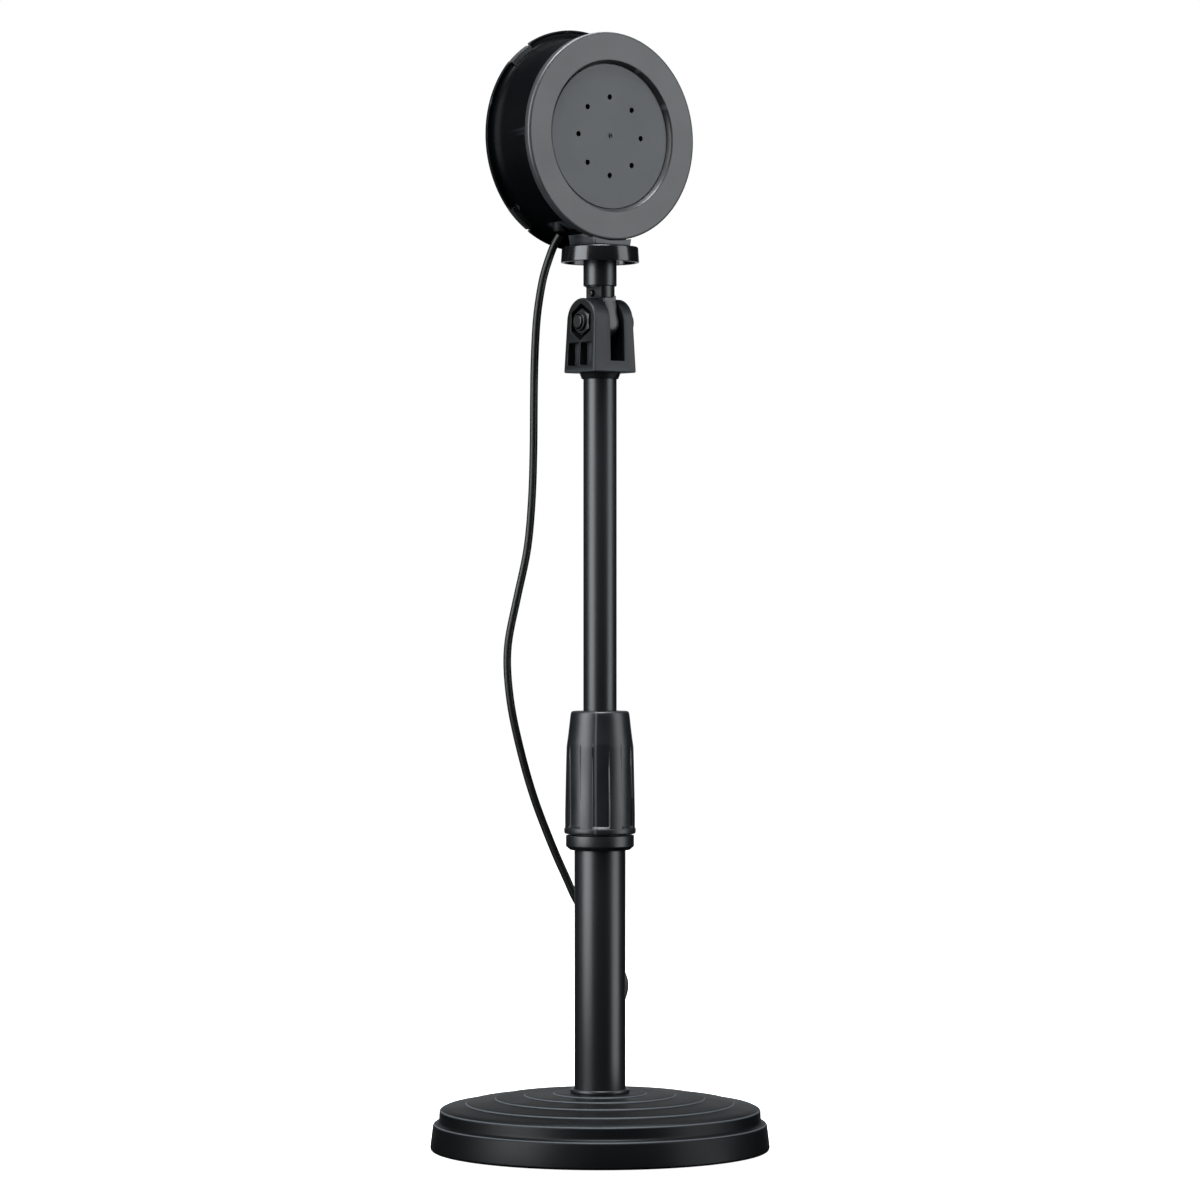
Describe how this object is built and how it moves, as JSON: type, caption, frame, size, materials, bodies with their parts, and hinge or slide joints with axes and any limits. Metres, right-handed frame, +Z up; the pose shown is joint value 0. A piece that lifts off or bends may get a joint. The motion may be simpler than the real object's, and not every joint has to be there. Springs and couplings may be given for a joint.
{
  "type": "desk-stand loudspeaker",
  "caption": "Small round loudspeaker on a weighted disc base, with a telescopic tube, twist-lock collar, tilting yoke, swivelling head and a trailing audio cord.",
  "frame": {"origin": "centre of the base on the surface it stands on", "axes": "+Z up along the stand's tubes, front of the speaker faces -Y, +X to the speaker's right side as seen from the front"},
  "size_m": [0.19, 0.1863, 0.4827],
  "materials": {
    "shell": "fine satin texture, black",
    "housing": "smooth satin, black",
    "bush": "moulded, dark grey",
    "knob": "glossy black",
    "tube_paint": "satin black powder coat",
    "steel": "zinc plated",
    "chassis": "pressed steel",
    "rubber": "matt black",
    "cord": "semi-gloss black PVC",
    "paper": "pressed paper pulp",
    "mesh": "fine woven mesh",
    "board": "green laminate",
    "component": "black"
  },
  "bodies": {
    "stand": {"base_shell": "shell", "foot_pad_ring": "rubber", "base_plate": "tube_paint", "base_weight": "steel", "bolt_washer": "steel", "tube_bolt": "steel", "tube_plug": "bush", "lower_tube": "tube_paint", "tube_foot_ring": "shell", "ferrule_ring": "shell", "clamp_bush": "bush", "cord_coil": "cord", "cord_tie": "cord", "cord_tail": "cord", "plug_body": "cord", "plug_pin": "steel"},
    "collar": {"lock_collar": "shell"},
    "pole": {"upper_tube": "tube_paint", "pole_end_bush": "bush", "yoke": "shell", "tilt_bolt": "steel", "tilt_nut": "steel", "tilt_washer": "steel", "cord_drop": "cord"},
    "post": {"tilt_post": "tube_paint", "neck_pin": "steel", "pan_washer": "steel", "pan_nut": "steel", "cord_neck": "cord"},
    "knob": {"lock_knob": "knob"},
    "head": {"front_ring": "housing", "grille_disc": "housing", "drum_shell": "housing", "rear_cover": "housing", "dust_mesh": "mesh", "speaker_chassis": "chassis", "driver_screw_1": "steel", "driver_screw_2": "steel", "driver_screw_3": "steel", "driver_screw_4": "steel", "speaker_magnet": "steel", "speaker_cone": "paper", "cone_surround": "rubber", "dust_cap": "paper", "amp_board": "board", "amp_chip": "component", "amp_capacitor": "component", "mount_foot": "shell", "cord_grommet": "rubber", "cord_head": "cord"}
  },
  "joints": [
    {"name": "collar_twist", "type": "hinge", "parent": "stand", "child": "collar", "pos_m": [0, 0, 0.1359], "axis": [0, 0, 1], "range_deg": [0, 150]},
    {"name": "pole_slide", "type": "slide", "parent": "stand", "child": "pole", "axis": [0, 0, 1], "range_m": [-0.06, 0.02], "deforming": ["cord_drop"]},
    {"name": "head_tilt", "type": "hinge", "parent": "pole", "child": "post", "pos_m": [0, 0, 0.3555], "axis": [1, 0, 0], "range_deg": [-75, 75], "deforming": ["cord_neck"]},
    {"name": "knob_spin", "type": "hinge", "parent": "post", "child": "knob", "pos_m": [0, 0, 0.3811], "axis": [0, 0, 1], "continuous": true},
    {"name": "head_pan", "type": "hinge", "parent": "post", "child": "head", "pos_m": [0, 0, 0.3882], "axis": [0, 0, 1], "range_deg": [-90, 90], "deforming": ["cord_head"]}
  ]
}
